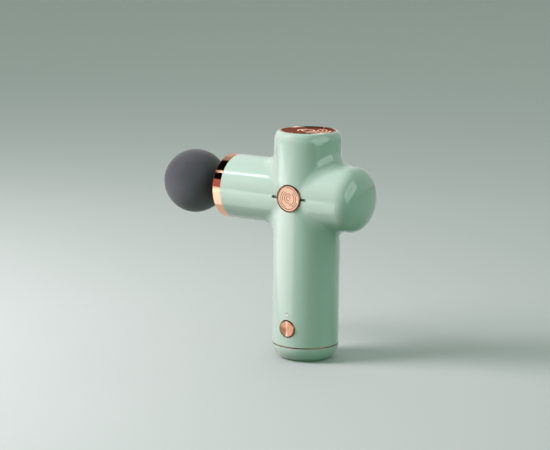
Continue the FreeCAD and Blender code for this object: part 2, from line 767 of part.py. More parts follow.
def main():
    os.makedirs("parts", exist_ok=True)
    outside = casing_outside()
    hollow = casing_hollow()
    save("front_shell", front_shell(outside, hollow))
    save("rear_shell", rear_shell(outside, hollow))
    save("base_cap", base_cap())
    save("base_trim_ring", base_trim_ring())
    save("base_screws", base_screws())
    save("barrel_collar", barrel_collar())
    save("barrel_front_plate", barrel_front_plate())
    save("dust_seal", dust_seal())
    save("front_badge", badge())
    save("top_panel", top_panel())
    save("display_board", display_board())
    save("display_board_screws", display_board_screws())
    save("indicator_leds", indicator_leds())
    save("button_board", button_board())
    save("button_board_screws", button_board_screws())
    save("tact_switch", tact_switch())
    save("switch_plunger", switch_plunger())
    save("power_button", power_button())
    save("led_light_pipe", led_light_pipe())
    save("status_led", status_led())
    save("chassis", chassis())
    save("motor_mount", motor_mount())
    save("motor_screws", group(motor_screw_set()))
    save("lower_motor_bearing", lower_bearing())
    save("upper_motor_bearing", upper_bearing())
    save("stator_core", stator_core())
    save("stator_windings", stator_windings())
    save("rotor_can", rotor_can())
    save("rotor_magnets", rotor_magnets())
    save("motor_shaft", motor_shaft())
    save("crank_disc", crank_disc())
    save("connecting_rod", connecting_rod())
    save("rod_bearing", rod_bearing())
    save("crank_pin_bolt", crank_pin_bolt())
    save("piston", piston())
    save("wrist_pin", wrist_pin())
    save("piston_sleeve", piston_sleeve())
    save("barrel_dampers", barrel_dampers())
    save("motor_plate_damper", motor_plate_damper())
    save("head_stem", head_stem())
    save("stem_o_ring", stem_o_ring())
    save("ball_head", ball_head())
    save("battery_cells", battery_cells())
    save("battery_tray", battery_tray())
    save("battery_contacts", battery_contacts())
    save("charge_board", charge_board())
    save("charge_board_parts", charge_board_parts())
    save("driver_board", driver_board())
    save("driver_board_screw", driver_board_screw())
    save("driver_board_parts", driver_board_parts())
    save("usb_c_port", usb_c_port())
    save("usb_board", usb_board())
    save("motor_leads", motor_leads())
    save("battery_leads", battery_leads())
    save("button_cable", button_cable())
    save("display_cable", display_cable())
    save("charge_leads", charge_leads())


main()
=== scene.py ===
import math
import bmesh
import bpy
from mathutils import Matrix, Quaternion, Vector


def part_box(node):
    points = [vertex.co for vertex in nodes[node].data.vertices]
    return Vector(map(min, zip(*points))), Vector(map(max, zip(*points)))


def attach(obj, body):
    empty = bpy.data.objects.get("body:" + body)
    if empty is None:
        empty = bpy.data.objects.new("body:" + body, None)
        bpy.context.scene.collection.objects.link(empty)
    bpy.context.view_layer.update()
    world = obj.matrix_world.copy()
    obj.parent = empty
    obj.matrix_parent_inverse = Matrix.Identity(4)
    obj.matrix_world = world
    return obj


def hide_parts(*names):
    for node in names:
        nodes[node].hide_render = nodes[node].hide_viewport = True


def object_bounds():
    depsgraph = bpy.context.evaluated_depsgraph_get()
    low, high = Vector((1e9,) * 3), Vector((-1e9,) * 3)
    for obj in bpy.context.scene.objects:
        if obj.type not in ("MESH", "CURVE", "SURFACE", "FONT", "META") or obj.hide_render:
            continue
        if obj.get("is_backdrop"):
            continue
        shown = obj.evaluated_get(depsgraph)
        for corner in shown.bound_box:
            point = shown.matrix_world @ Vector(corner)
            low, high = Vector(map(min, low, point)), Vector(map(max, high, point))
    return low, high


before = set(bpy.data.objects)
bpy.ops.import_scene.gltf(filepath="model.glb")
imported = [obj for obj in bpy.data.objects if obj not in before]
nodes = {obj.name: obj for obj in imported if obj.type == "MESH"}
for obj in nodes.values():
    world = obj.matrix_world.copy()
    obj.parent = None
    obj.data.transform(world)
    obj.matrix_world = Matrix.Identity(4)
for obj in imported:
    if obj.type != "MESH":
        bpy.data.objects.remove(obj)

# %% [markdown]
# A pocket massage gun, finished in Blender around its CAD model.
# The CAD model fixes every size and place, so each new piece below takes its measures from it.
# All lengths are metres. Z is up, the ball head points along -X, the badge and the power button
# face -Y. Pieces that only need a finish keep their CAD mesh. Pieces whose small shapes catch the
# light, such as the badge's rim, are made again here with rounded edges.

cad_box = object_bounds()
MM = 0.001


def middle(node):
    """The centre of a CAD node's box."""
    low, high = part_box(node)
    return (Vector(low) + Vector(high)) / 2


barrel_axis = middle("barrel_collar")
barrel_axis.x = 0.0
barrel_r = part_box("barrel_collar")[1][2] - barrel_axis.z
handle_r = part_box("base_cap")[1][0]
print("barrel axis height", round(barrel_axis.z, 4), "barrel radius", round(barrel_r, 4))

# %% [markdown]
# Materials are made of nodes. To keep the shader maths readable, a small class wraps a node's
# output, so that "a * 2 + b" adds the Math nodes by itself. Every other node comes from one
# method, node(), which sets the node's options first and then its inputs. The sky is made in the
# same way. The alternative is a long list of nodes and links, in which nobody can see the sum.

# %% A small language for materials


class Value:
    """One output of a node. Arithmetic on it adds Math nodes to the same net."""

    def __init__(self, net, socket):
        self.net = net
        self.socket = socket

    def math(self, operation, first, second=0.0):
        return self.net.node("ShaderNodeMath", {"operation": operation}, {0: first, 1: second})

    def __add__(self, other):
        return self.math("ADD", self, other)

    def __sub__(self, other):
        return self.math("SUBTRACT", self, other)

    def __mul__(self, other):
        return self.math("MULTIPLY", self, other)

    def __rsub__(self, other):
        return self.math("SUBTRACT", other, self)

    def __pow__(self, other):
        return self.math("POWER", self, other)

    __radd__ = __add__
    __rmul__ = __mul__

    def sine(self):
        """A wave between 0 and 1."""
        return self.math("SINE", self) * 0.5 + 0.5

    def size(self):
        return self.math("ABSOLUTE", self)


class Net:
    """The nodes of one material, or of the sky."""

    def __init__(self, tree):
        self.tree = tree

    def node(self, kind, settings=None, inputs=None, output=0):
        """Any node: its options are set first, then the values or links of its inputs."""
        made = self.tree.nodes.new(kind)
        for key, value in (settings or {}).items():
            setattr(made, key, value)
        for key, value in (inputs or {}).items():
            self.feed(made.inputs[key], value)
        return Value(self, made.outputs[output])

    def feed(self, socket, value):
        if isinstance(value, Value):
            self.tree.links.new(value.socket, socket)
        else:
            socket.default_value = value

    def part(self, vector, axis):
        """One coordinate of a vector: 0, 1 or 2 for x, y or z."""
        return self.node("ShaderNodeSeparateXYZ", {}, {"Vector": vector}, output=axis)

    def blend(self, amount, first, second):
        """A colour between two colours. A Mix node keeps its colours in inputs 6 and 7."""
        settings = {"data_type": "RGBA", "clamp_factor": True}
        return self.node("ShaderNodeMix", settings, {0: amount, 6: first, 7: second}, output=2)

    def step(self, value, low, high):
        """0 below low, 1 above high, and a soft step between."""
        settings = {"interpolation_type": "SMOOTHSTEP"}
        inputs = {"Value": value, "From Min": low, "From Max": high}
        return self.node("ShaderNodeMapRange", settings, inputs)


class Finish(Net):
    """A material with one Principled shader."""

    def __init__(self, name, **constants):
        self.material = bpy.data.materials.new(name)
        self.material.use_nodes = True
        super().__init__(self.material.node_tree)
        self.shader = self.tree.nodes["Principled BSDF"]
        for key, value in constants.items():
            self.set(key.replace("_", " "), value)

    def set(self, name, value):
        self.feed(self.shader.inputs[name], value)

    def place(self, centre=(0, 0, 0)):
        """The position on the object, in metres, measured from a centre."""
        here = self.node("ShaderNodeTexCoord", output="Object")
        inputs = {"Vector": here, "Location": tuple(centre)}
        return self.node("ShaderNodeMapping", {"vector_type": "TEXTURE"}, inputs)

    def stretched(self, scale):
        """Position divided along each axis, so that a pattern gets long in one direction."""
        inputs = {"Vector": self.place(), "Scale": scale}
        return self.node("ShaderNodeMapping", {"vector_type": "TEXTURE"}, inputs)

    def radius(self, centre, axis):
        """Distance from a line through the centre along an axis."""
        here = self.place(centre)
        flat = [1.0, 1.0, 1.0]
        flat[axis] = 0.0
        across = self.node("ShaderNodeVectorMath", {"operation": "MULTIPLY"}, {0: here, 1: flat})
        return self.node("ShaderNodeVectorMath", {"operation": "LENGTH"}, {0: across}, output="Value")

    def noise(self, scale, detail=2.0, vector=None):
        """Soft random values from 0 to 1."""
        inputs = {"Vector": vector or self.place(), "Scale": scale, "Detail": detail}
        return self.node("ShaderNodeTexNoise", {}, inputs)

    def cells(self, scale):
        """Distance to the nearest of many scattered points: small bowls, as pores."""
        return self.node("ShaderNodeTexVoronoi", {}, {"Vector": self.place(), "Scale": scale})

    def bump(self, height, distance, strength=1.0):
        inputs = {"Height": height, "Distance": distance, "Strength": strength}
        self.set("Normal", self.node("ShaderNodeBump", {}, inputs))


def paint(red, green, blue):
    return (red, green, blue, 1.0)


def shade(colour, factor):
    """The same colour, darker or lighter."""
    return tuple(min(1.0, c * factor) for c in colour[:3]) + (1.0,)


def dress(finish, *names):
    """Gives CAD nodes their finish."""
    for name in names:
        piece = nodes[name]
        piece.data.materials.clear()
        piece.data.materials.append(finish.material)
        dressed.add(name)


dressed = set()
print("material tools ready")

# %% [markdown]
# New pieces are turned on a lathe, as the real ones are: a profile is drawn as a few points in
# millimetres, spun round an axis, and its sharp edges are bevelled so that they catch the light.
# A lathe is the right tool because every trim part of this gun is round. Smooth shading would
# bend the flat parts near a bevel, so each long side first gets a support point near its ends.

# %% The lathe
QUARTER = math.pi / 2
DIRECTIONS = {
    "back": Quaternion((0, 1, 0), QUARTER),      # along the barrel, away from the ball
    "front": Quaternion((1, 0, 0), QUARTER),     # out of the face with the badge
    "up": Quaternion(),
}


CREASE = math.radians(35.0)      # a steeper edge than this looks sharp
BEVEL_STEPS = 3
HOLD = 1.6                       # support points stand this many bevel widths from a corner
MERGE = 0.1e-6                   # spun points closer than this are one point
MERGE_BEVEL = 3e-6               # so are points that a narrow bevel pushes together


def finished_object(name, bm, finish):
    """A mesh object with smooth faces and sharp creases, closed and facing outwards."""
    bmesh.ops.recalc_face_normals(bm, faces=bm.faces)
    for face in bm.faces:
        face.smooth = True
    for edge in bm.edges:
        edge.smooth = not edge.is_manifold or edge.calc_face_angle() < CREASE
    mesh = bpy.data.meshes.new(name)
    bm.to_mesh(mesh)
    bm.free()
    mesh.materials.append(finish.material)
    made = bpy.data.objects.new(name, mesh)
    bpy.context.scene.collection.objects.link(made)
    print(name, len(mesh.polygons), "faces")
    return made


def round_edges(bm, width, sharp):
    """Bevels every edge whose faces meet at a sharp angle."""
    limit = math.radians(sharp)
    edges = [e for e in bm.edges if e.is_manifold and e.calc_face_angle() > limit]
    bmesh.ops.bevel(
        bm, geom=edges, offset=width * MM, offset_type="OFFSET", segments=BEVEL_STEPS,
        profile=0.5, affect="EDGES", clamp_overlap=True, material=-1,
    )
    bmesh.ops.remove_doubles(bm, verts=bm.verts, dist=MERGE_BEVEL)


def held(profile, distance):
    """Adds a point near both ends of each long side, so that flat parts stay flat when shaded."""
    shortest = 3 * distance
    points = []
    for here, after in zip(profile, profile[1:] + profile[:1]):
        length = math.dist(here, after)
        points.append(here)
        if length > shortest:
            for share in (distance / length, 1 - distance / length):
                points.append(tuple(a + (b - a) * share for a, b in zip(here, after)))
    return points


def lathe(profile, steps=96, turn=360.0, start=0.0):
    """Spins a profile of (radius, height) points, in millimetres, round the Z axis.

    A part turn starts from a flat face, so that both ends are closed.
    """
    bm = bmesh.new()
    points = [bm.verts.new((r * MM, 0, h * MM)) for r, h in profile]
    if turn < 360.0:
        outline = [bm.faces.new(points)]
        geometry = points + list(bm.edges) + outline
    else:
        lines = [bm.edges.new(pair) for pair in zip(points, points[1:] + points[:1])]
        geometry = points + lines
    first_angle = Matrix.Rotation(math.radians(start), 3, "Z")
    bmesh.ops.rotate(bm, verts=bm.verts, cent=(0, 0, 0), matrix=first_angle)
    bmesh.ops.spin(
        bm, geom=geometry, cent=(0, 0, 0), axis=(0, 0, 1), angle=math.radians(turn),
        steps=steps, use_merge=turn >= 360.0, use_duplicate=False,
    )
    bmesh.ops.remove_doubles(bm, verts=bm.verts, dist=MERGE)
    bmesh.ops.dissolve_degenerate(bm, edges=bm.edges, dist=MERGE / 10)
    bmesh.ops.recalc_face_normals(bm, faces=bm.faces)
    return bm


def aim(bm, towards, at):
    """Turns what was made round Z so that its height runs another way, and moves it to its place."""
    bmesh.ops.rotate(bm, verts=bm.verts, cent=(0, 0, 0), matrix=DIRECTIONS[towards].to_matrix())
    bmesh.ops.translate(bm, verts=bm.verts, vec=Vector(at))


def turned_piece(name, profile, towards, at, finish, edge=0.0, steps=96, sharp=50.0):
    """A lathed piece in its place.

    Edge is the width of the bevel in millimetres, which goes on edges sharper than the angle.
    """
    bm = lathe(held(profile, edge * HOLD) if edge else profile, steps)
    if edge:
        round_edges(bm, edge, sharp)
    aim(bm, towards, at)
    return finished_object(name, bm, finish)


def fit(piece, body, slot, *stands_for):
    """Says what the piece rides on and the CAD nodes it stands for. The finish slot is not used."""
    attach(piece, body)
    if stands_for:
        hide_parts(*stands_for)
        dressed.update(stands_for)


# %% [markdown]
# The casing is moulded plastic under a thick glossy lacquer. A clear coat over a smooth base
# gives the sharp highlights of the lacquer, and a faint slow ripple, which painters call orange
# peel, keeps it from looking like glass. The two half shells meet in a hairline along the plane
# y = 0, which is a darker line in the paint and not worth its own mesh.

# %% Mint lacquer
MINT = paint(0.49, 0.665, 0.56)


def mint_lacquer():
    finish = Finish("mint_lacquer", Coat_Weight=1.0, Coat_Roughness=0.02, Specular_IOR_Level=0.6)
    cloud = finish.blend(finish.noise(35.0, 3.0), MINT, shade(MINT, 0.97))
    across = finish.part(finish.place(), 1).size()
    hairline = 1 - finish.step(across, 0.03 * MM, 0.07 * MM)
    finish.set("Base Color", finish.blend(hairline * 0.45, cloud, shade(MINT, 0.4)))
    finish.set("Roughness", 0.1 + finish.noise(800.0) * 0.06)
    finish.bump(finish.noise(260.0, 1.0), 0.02 * MM, 0.2)
    return finish


mint = mint_lacquer()
dress(mint, "front_shell", "rear_shell", "base_cap")
print("casing dressed")

# %% [markdown]
# Collar, base line, badge and button are rose-gold plated. Polished plating is a mirror with a
# warm tint, and its look comes from what it reflects. The narrow rims and the base line are painted
# a darker colour, a painted shade for the dark surroundings they mirror and the shadow at their
# edges, so that the rims outline the badge and the button. The faces of both are cut on a lathe,
# which leaves fine rings. Rings finer than the eye can see are made with a bump. Turned metal also
# shows a bright bow-tie and a dark sector, which follow the lamps as the eye moves. A bump can't
# give them at this size, so the button's face has them painted into its colour, as the eye sees
# them from the front: a painted highlight and a painted dark reflection.

# %% Rose gold
ROSE = paint(0.96, 0.48, 0.33)


def rose_polished(name, colour):
    finish = Finish(name, Metallic=1.0)
    finish.set("Base Color", finish.blend(finish.noise(300.0), colour, shade(colour, 0.95)))
    finish.set("Roughness", 0.04 + finish.noise(2500.0) * 0.03)
    return finish


# The button's bright bow-tie and dark sector are a painted highlight and a painted dark reflection, set
# by the numbers below.
BOW_FLARE = 0.16              # how fast the bright bow-tie widens away from the centre
DARK_LEFT, DARK_DOWN = 0.82, 0.57   # the way in which the dark sector points
DARK_FLARE = 0.75             # how narrow the dark sector is
HIGHLIGHT_PAINT = paint(1.0, 0.86, 0.76)


def rose_turned(name, centre, pitch, depth, colour, roughness, metal, painted_reflection):
    """Lathe-cut rose gold with fine rings round a centre, and a painted highlight bow-tie and a painted
    dark reflection sector of the given strength.
    """
    finish = Finish(name, Metallic=metal)
    rings = (finish.radius(centre, 1) * (2 * math.pi / pitch)).sine()
    fine = finish.noise(4000.0)
    here = finish.place(centre)
    sideways = finish.part(here, 0)
    upwards = finish.part(here, 2)
    # Painted highlight: a bright bow-tie across the face.
    painted_highlight = 1 - finish.step(sideways.size() - upwards.size() * BOW_FLARE, -0.2 * MM, 0.4 * MM)
    along = sideways * -DARK_LEFT - upwards * DARK_DOWN
    across = (sideways * DARK_DOWN - upwards * DARK_LEFT).size()
    # Painted dark reflection: a dark sector towards the lower left.
    dark = finish.step(along - across * DARK_FLARE, -1.0 * MM, 1.6 * MM)
    plain = finish.blend(finish.noise(900.0), colour, shade(colour, 0.93))
    darker = finish.blend(dark * painted_reflection, plain, shade(colour, 0.42))
    finish.set("Base Color", finish.blend(painted_highlight * painted_reflection, darker, HIGHLIGHT_PAINT))
    finish.set("Roughness", roughness + fine * 0.08)
    finish.bump(rings + fine * 0.3, depth)
    return finish


polished = rose_polished("rose_gold_polished", ROSE)
# The rims' colour is painted darker than the plating: painted shade.
painted_dark_rim_metal = rose_polished("rose_gold_rim_painted_shade", shade(ROSE, 0.32))
pale_metal = rose_polished("pale_rose_polished", paint(1.0, 0.78, 0.66))
badge_at = middle("front_badge")
button_at = middle("power_button")
SATIN = paint(1.0, 0.62, 0.44)
COPPER = paint(0.88, 0.42, 0.25)
badge_metal = rose_turned(
    "badge_satin", badge_at, pitch=0.16 * MM, depth=0.012 * MM, colour=SATIN,
    roughness=0.38, metal=0.2, painted_reflection=0.0,
)
# The button's face carries a painted highlight and a painted dark reflection.
button_metal = rose_turned(
    "button_turned", button_at, pitch=0.22 * MM, depth=0.02 * MM, colour=COPPER,
    roughness=0.26, metal=0.6, painted_reflection=0.85,
)
print("rose gold ready")

# %% [markdown]
# The collar is a ring pressed over the nose of the barrel. It needs a rounded front edge, since
# that thin edge is what shows as a bright line beside the ball. A profile with the step that
# sits on the barrel's nose is spun round the barrel's axis and bevelled.

# %% Barrel collar
collar_low, collar_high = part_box("barrel_collar")
COLLAR_LENGTH = (collar_high[0] - collar_low[0]) / MM
BARREL_MM = barrel_r / MM
NOSE_MM = 19.9                # the barrel's nose, over which the collar is pressed
NOSE_BORE_MM = 17.9


def barrel_collar():
    """Heights run back from the front edge."""
    lip = 1.1
    chamfer = 0.45
    back = COLLAR_LENGTH - 0.05
    inner = NOSE_MM + 0.02
    profile = [
        (NOSE_BORE_MM, 0.0), (BARREL_MM - chamfer, 0.0), (BARREL_MM, chamfer), (BARREL_MM, back),
        (inner, back), (inner, lip), (NOSE_BORE_MM, lip),
    ]
    at = (collar_low[0], 0, barrel_axis.z)
    shape = {"edge": 0.18, "steps": 160, "sharp": 30.0}
    return turned_piece("collar_ring", profile, "back", at, polished, **shape)


fit(barrel_collar(), "body", "rose_metal", "barrel_collar")

# %% [markdown]
# The line above the base is a thin metal hoop. Its outside is half round and stands a hair proud,
# so it reflects the room from above to below, where a flat band would be one dull colour.

# %% Base hoop
hoop_low, hoop_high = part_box("base_trim_ring")


def base_hoop():
    height = (hoop_high[2] - hoop_low[2]) / MM
    outer = hoop_high[0] / MM
    inner = outer - 1.6
    gap = 0.02
    profile = [
        (inner, gap), (outer - 0.1, gap), (outer + 0.03, height * 0.2), (outer + 0.08, height * 0.5),
        (outer + 0.03, height * 0.8), (outer - 0.1, height - gap), (inner, height - gap),
    ]
    # The hoop takes the rims' darker colour, a painted shade.
    return turned_piece("base_hoop", profile, "up", (0, 0, hoop_low[2]), painted_dark_rim_metal, steps=160)


fit(base_hoop(), "body", "rose_metal", "base_trim_ring")

# %% [markdown]
# The badge is a stamped disc: a polished raised rim round a satin face with engraved lines. The
# rim and the face are separate pieces, so that each has its own finish and the step between them
# is real. The face carries a plain pattern of broken rings. Each engraved line is a thin dark
# inlay, spun through part of a turn, because a groove so narrow reads only as a dark line.

# %% Badge
badge_low, badge_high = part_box("front_badge")
BADGE_MM = (badge_high[0] - badge_low[0]) / 2 / MM
BADGE_THICK = (badge_high[1] - badge_low[1]) / MM
FACE_DEPTH = 0.42
BADGE_RIM_MM = 0.85
JOINT_GAP = 0.01              # between a rim and the face inside it
badge_front = Vector((badge_at.x, badge_low[1], badge_at.z))


def engraved_line():
    finish = Finish("engraved_line", Metallic=0.6, Roughness=0.5)
    brown = paint(0.20, 0.075, 0.045)
    finish.set("Base Color", finish.blend(finish.noise(1500.0), brown, paint(0.13, 0.05, 0.03)))
    return finish


def badge_rim():
    """Heights below zero lie behind the front of the badge."""
    inner = BADGE_MM - BADGE_RIM_MM
    foot = -0.35
    profile = [
        (inner, foot), (inner + 0.15, 0.1), (BADGE_MM - 0.45, 0.25), (BADGE_MM, foot),
        (BADGE_MM, -BADGE_THICK), (inner, -BADGE_THICK),
    ]
    shape = {"edge": 0.22, "steps": 128, "sharp": 25.0}
    return turned_piece("badge_rim", profile, "front", badge_front, painted_dark_rim_metal, **shape)


def badge_face():
    outer = BADGE_MM - BADGE_RIM_MM - JOINT_GAP
    profile = [(0.0, -FACE_DEPTH), (outer, -FACE_DEPTH), (outer, -BADGE_THICK), (0.0, -BADGE_THICK)]
    return turned_piece("badge_face", profile, "front", badge_front, badge_metal, steps=128)


STEP_DEGREES = 6
MIN_STEPS = 6


def arc_bars(name, bars, towards, at, finish, height, width, depth):
    """Thin curved bars: each has a radius in millimetres, a start angle and a length in degrees."""
    whole = bmesh.new()
    for radius, start, turn in bars:
        half = width / 2
        profile = [
            (radius - half, height - depth), (radius + half, height - depth),
            (radius + half, height), (radius - half, height),
        ]
        steps = max(MIN_STEPS, int(turn / STEP_DEGREES))
        bar = lathe(profile, steps, turn, start)
        part = bpy.data.meshes.new("part")
        bar.to_mesh(part)
        bar.free()
        whole.from_mesh(part)
        bpy.data.meshes.remove(part)
    aim(whole, towards, at)
    return finished_object(name, whole, finish)


BADGE_LINES = [               # radius, start and length of each engraved line
    (1.5, 0.0, 300.0), (3.0, 40.0, 250.0), (4.4, -80.0, 130.0), (4.4, 110.0, 90.0),
    (5.8, -60.0, 110.0), (5.8, 130.0, 120.0), (7.0, 20.0, 80.0), (7.0, 200.0, 140.0),
]
fit(badge_rim(), "body", "rose_metal", "front_badge")
fit(badge_face(), "body", "rose_satin")
badge_lines = arc_bars(
    "badge_lines", BADGE_LINES, "front", badge_front, engraved_line(),
    height=0.03 - FACE_DEPTH, width=0.36, depth=0.2,
)
fit(badge_lines, "body", "rose_satin")

# %% [markdown]
# The power button is one turned cap: a slightly hollow face inside a polished edge whose dark
# colour is painted shade. The edge and the face again differ in finish, so the edge ring is its own
# piece round the face. Both ride on the button, so they sink together when it is pressed.

# %% Power button
button_low, button_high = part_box("power_button")
BUTTON_MM = 5.8               # the cap, in front of its wider flange
BUTTON_EDGE_MM = 0.75
BUTTON_FLANGE_MM = (button_high[0] - button_low[0]) / 2 / MM
BUTTON_DEEP = (button_high[1] - button_low[1]) / MM
button_front = Vector((button_at.x, button_low[1], button_at.z))


def button_edge():
    inner = BUTTON_MM - BUTTON_EDGE_MM
    flange = 0.9 - BUTTON_DEEP
    profile = [
        (inner, -0.6), (inner, -0.12), (inner + 0.1, 0.05), (BUTTON_MM - 0.5, 0.15),
        (BUTTON_MM, -0.5), (BUTTON_MM, flange), (BUTTON_FLANGE_MM, flange),
        (BUTTON_FLANGE_MM, -BUTTON_DEEP), (inner, -BUTTON_DEEP),
    ]
    shape = {"edge": 0.1, "steps": 128, "sharp": 25.0}
    return turned_piece("button_edge", profile, "front", button_front, painted_dark_rim_metal, **shape)


def button_face():
    """A shallow bowl: its middle lies deepest."""
    outer = BUTTON_MM - BUTTON_EDGE_MM - JOINT_GAP
    middle_depth = 0.32
    bowl = 0.17
    rings = 6
    back = 0.1 - BUTTON_DEEP
    profile = [(0.0, -middle_depth)]
    profile += [(outer * i / rings, bowl * (i / rings) ** 2 - middle_depth) for i in range(1, rings + 1)]
    profile += [(outer, back), (0.0, back)]
    return turned_piece("button_face", profile, "front", button_front, button_metal, steps=128)


fit(button_edge(), "power_button", "rose_metal", "power_button")
fit(button_face(), "power_button", "rose_satin")

# %% [markdown]
# The indicator is a milky pin that carries light from a lamp inside to a small hole. Its end is
# a tiny dish, so that one side of it is dark and the other bright, and the dish's thin lip covers
# the edge of the hole. The pin and its flange are spun in one profile with the dish.

# %% Indicator lens
lens_low, lens_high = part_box("led_light_pipe")
lens_at = middle("led_light_pipe")
PIN_MM = 0.93                 # fits the hole in the casing


def milky_plastic():
    finish = Finish("light_pipe_milky", Roughness=0.12, Coat_Weight=0.6, IOR=1.49)
    white = paint(0.97, 0.98, 0.97)
    finish.set("Base Color", finish.blend(finish.noise(900.0), white, paint(0.93, 0.95, 0.94)))
    return finish


def lens_pin():
    deep = (lens_high[1] - lens_low[1]) / MM
    flange = (lens_high[0] - lens_low[0]) / 2 / MM
    flange_front, flange_back = -3.0, -4.0
    skin = (lens_low[1] + handle_r) / MM
    print("the lens stands", round(skin, 3), "mm behind the casing's skin")
    dish = [
        (0.0, -0.75), (0.4, -0.7), (0.75, -0.45), (0.98, -0.1), (1.1, 0.12), (1.22, 0.12),
        (1.27, 0.02), (PIN_MM, 0.02),
    ]
    profile = [(radius, skin + height) for radius, height in dish]
    profile += [
        (PIN_MM, flange_front), (flange, flange_front), (flange, flange_back),
        (PIN_MM, flange_back), (PIN_MM, -deep), (0.0, -deep),
    ]
    front = Vector((lens_at.x, lens_low[1], lens_at.z))
    return turned_piece("lens_pin", profile, "front", front, milky_plastic(), steps=48)


fit(lens_pin(), "body", "clear_plastic", "led_light_pipe")

# %% [markdown]
# The top panel is a touch display: dark copper-tinted glass in a thin bright rim, with plain
# marks printed under the glass. The marks are thin flat bars just above the disc. A picture
# texture could do it too, but bars stay sharp at any distance and need no image. They glow a
# little, as lit marks do under dark glass.

# %% Top panel
panel_low, panel_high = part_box("top_panel")
PANEL_MM = (panel_high[0] - panel_low[0]) / 2 / MM
PANEL_THICK = (panel_high[2] - panel_low[2]) / MM
TOP_RIM_MM = 0.54
panel_top = Vector((0, 0, panel_high[2]))


def copper_glass():
    finish = Finish("copper_glass", Metallic=1.0, Specular_Tint=paint(0.60, 0.2, 0.12))
    deep = paint(0.35, 0.10, 0.055)
    finish.set("Base Color", finish.blend(finish.noise(120.0), deep, shade(deep, 0.85)))
    finish.set("Roughness", 0.16 + finish.noise(600.0) * 0.05)
    return finish


def panel_print():
    finish = Finish("panel_print", Metallic=0.3, Coat_Weight=0.3, Emission_Strength=0.6)
    pale = paint(0.95, 0.60, 0.43)
    finish.set("Emission Color", pale)
    finish.set("Base Color", finish.blend(finish.noise(700.0), pale, shade(pale, 0.9)))
    finish.set("Roughness", 0.3 + finish.noise(900.0) * 0.1)
    return finish


def top_glass():
    outer = PANEL_MM - TOP_RIM_MM - JOINT_GAP
    sunk = 0.12
    profile = [(0.0, -sunk), (outer, -sunk), (outer, -PANEL_THICK), (0.0, -PANEL_THICK)]
    return turned_piece("top_glass", profile, "up", panel_top, copper_glass(), steps=160)


def top_rim():
    """The rim stands a little above the disc and slopes in towards the glass."""
    inner = PANEL_MM - TOP_RIM_MM
    proud = 0.4
    profile = [
        (inner, 0.0), (inner + 0.2, proud), (PANEL_MM - 0.15, proud), (PANEL_MM, proud / 2),
        (PANEL_MM, -PANEL_THICK), (inner, -PANEL_THICK),
    ]
    shape = {"edge": 0.08, "steps": 160, "sharp": 25.0}
    return turned_piece("top_rim", profile, "up", panel_top, pale_metal, **shape)


def top_marks():
    """A touch ring between two curved bars, a row of level bars, battery dots and a long bar."""
    bars = [(4.2, 0.0, 359.0), (6.6, -50.0, 100.0), (6.6, 130.0, 100.0)]
    bars += [(9.6, angle, 14.0) for angle in range(-60, 61, 24)]
    bars += [(12.2, angle, 9.0) for angle in range(-64, 65, 16)]
    bars += [(14.6, -30.0, 60.0)]
    print_finish = panel_print()
    return arc_bars("top_marks", bars, "up", panel_top, print_finish, height=-0.09, width=1.0, depth=0.1)


fit(top_glass(), "body", "copper_panel", "top_panel")
fit(top_rim(), "body", "rose_metal")
fit(top_marks(), "body", "copper_panel")

# %% [markdown]
# The ball is closed-cell foam with a moulded skin: matt, nearly black, with pores that can just
# be felt. The CAD sphere has the right shape and the bore for its stem, so it keeps its mesh.
# The pores come from a bump of scattered cells, and a soft cloud varies the grey.

# %% Foam ball and its stem


def foam():
    finish = Finish("charcoal_foam", Specular_IOR_Level=0.45, Sheen_Weight=0.12, Sheen_Roughness=0.5)
    grey = paint(0.072, 0.075, 0.086)
    finish.set("Base Color", finish.blend(finish.noise(90.0, 4.0), shade(grey, 0.8), shade(grey, 1.15)))
    finish.set("Roughness", 0.46 + finish.noise(500.0) * 0.12)
    pores = finish.cells(1600.0) * 0.6 + finish.noise(2600.0) * 0.4
    finish.bump(pores, 0.06 * MM, 0.5)
    return finish


def grained(name, colour, roughness, grain=2200.0, depth=0.02 * MM, metal=0.0, **constants):
    """Moulded or cast surfaces: one colour with small clouds, and an even grain."""
    finish = Finish(name, Metallic=metal, **constants)
    finish.set("Base Color", finish.blend(finish.noise(grain / 8, 3.0), colour, shade(colour, 0.82)))
    finish.set("Roughness", (roughness - 0.05) + finish.noise(grain) * 0.1)
    finish.bump(finish.noise(grain, 3.0), depth, 0.5)
    return finish


black_plastic = grained("black_plastic", paint(0.022, 0.022, 0.024), 0.5)
rubber = grained("black_rubber", paint(0.016, 0.016, 0.017), 0.75, 1400.0, 0.03 * MM)
dress(foam(), "ball_head")
dress(black_plastic, "head_stem", "barrel_front_plate", "switch_plunger", "tact_switch")
dress(rubber, "stem_o_ring", "barrel_dampers", "motor_plate_damper")
print("head dressed")

# %% [markdown]
# A rubber seal closes the gap between the piston and the nose. Such seals have soft ribs that
# wipe the moving part, so its profile is drawn with three narrow lips.

# %% Dust seal
seal_low, seal_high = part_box("dust_seal")


def dust_seal():
    """Heights run back from the seal's front. Each lip narrows to an edge at the bore."""
    outer = (seal_high[2] - seal_low[2]) / 2 / MM
    length = (seal_high[0] - seal_low[0]) / MM
    bore = 9.0
    shoulder = bore + 0.35
    root = bore + 0.9
    chamfer = 0.3
    lips = 3
    profile = [(root, 0.0), (outer - chamfer, 0.0), (outer, chamfer), (outer, length), (root, length)]
    for i in range(lips):
        top = length - (i + 0.15) * length / lips
        profile += [(shoulder, top), (bore, top - 0.22), (shoulder, top - 0.44), (root, top - 0.55)]
    at = (seal_low[0], 0, barrel_axis.z)
    return turned_piece("seal_lips", profile, "back", at, rubber, steps=96)


fit(dust_seal(), "body", "rubber_black", "dust_seal")

